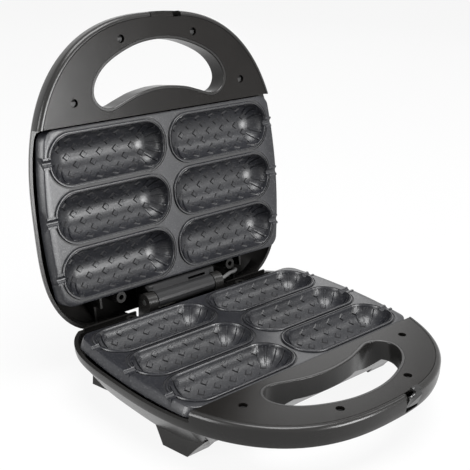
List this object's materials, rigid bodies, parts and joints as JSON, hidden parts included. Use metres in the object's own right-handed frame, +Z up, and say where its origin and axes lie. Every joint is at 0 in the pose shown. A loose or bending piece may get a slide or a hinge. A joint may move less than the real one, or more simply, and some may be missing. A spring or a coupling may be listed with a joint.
{
  "type": "corn dog maker",
  "caption": "Countertop corn dog maker, shown open: two hinged halves with finger-hole handles, half-round baking troughs, stick grooves and a front latch.",
  "frame": {"origin": "centre of the overall box, on the surface that the feet stand on", "axes": "+X to the appliance's right along the hinge pin, -Y to the front handle, +Z up"},
  "size_m": [0.2566, 0.305, 0.2834],
  "materials": {
    "housing": "satin moulded heat-resistant plastic, warm dark grey",
    "nonstick_coating": "speckled semi-gloss non-stick coating on cast aluminium",
    "heater_steel": "dull sheathed heating tube",
    "reflector_aluminium": "bright pressed aluminium",
    "screw_metal": "blackened steel",
    "steel": "plain steel",
    "hinge_grey": "glossy light grey moulded plastic",
    "clip_black": "glossy black moulded plastic",
    "rubber": "matte black rubber",
    "lead_sleeve": "woven glass-fibre sleeve over a wire",
    "terminal_ceramic": "white steatite",
    "red_lens": "clear red plastic",
    "green_lens": "clear green plastic"
  },
  "bodies": {
    "base": {"base_cord_gland": "rubber", "base_cover_screw_front_left": "screw_metal", "base_cover_screw_front_right": "screw_metal", "base_cover_screw_side_left": "screw_metal", "base_cover_screw_side_right": "screw_metal", "base_handle_cover": "housing", "base_heater": "heater_steel", "base_plate": "nonstick_coating", "base_reflector": "reflector_aluminium", "base_reflector_screw_front": "screw_metal", "base_reflector_screw_rear": "screw_metal", "base_shell": "housing", "base_terminal_block": "terminal_ceramic", "base_thermostat": "steel", "foot_pad_front_left": "rubber", "foot_pad_front_right": "rubber", "foot_pad_rear_left": "rubber", "foot_pad_rear_right": "rubber", "hinge_pin": "steel", "latch_pin": "steel"},
    "lid": {"lid_arm_screw_left": "screw_metal", "lid_arm_screw_right": "screw_metal", "lid_cover_screw_front_left": "screw_metal", "lid_cover_screw_front_right": "screw_metal", "lid_cover_screw_side_left": "screw_metal", "lid_cover_screw_side_right": "screw_metal", "lid_handle_cover": "housing", "lid_heater": "heater_steel", "lid_hinge_arm": "hinge_grey", "lid_plate": "nonstick_coating", "lid_power_lens": "red_lens", "lid_ready_lens": "green_lens", "lid_reflector": "reflector_aluminium", "lid_reflector_screw_front": "screw_metal", "lid_reflector_screw_rear": "screw_metal", "lid_shell": "housing", "lid_supply_lead": "lead_sleeve"},
    "latch": {"latch_clip": "clip_black"}
  },
  "joints": [
    {"name": "lid_hinge", "type": "hinge", "parent": "base", "child": "lid", "pos_m": [0, 0.088, 0.05035], "axis": [1, 0, 0], "range_deg": [0, 99.26]},
    {"name": "latch_hinge", "type": "hinge", "parent": "base", "child": "latch", "pos_m": [0.021, -0.1445, 0.039], "axis": [-1, 0, 0], "range_deg": [0, 20]}
  ]
}
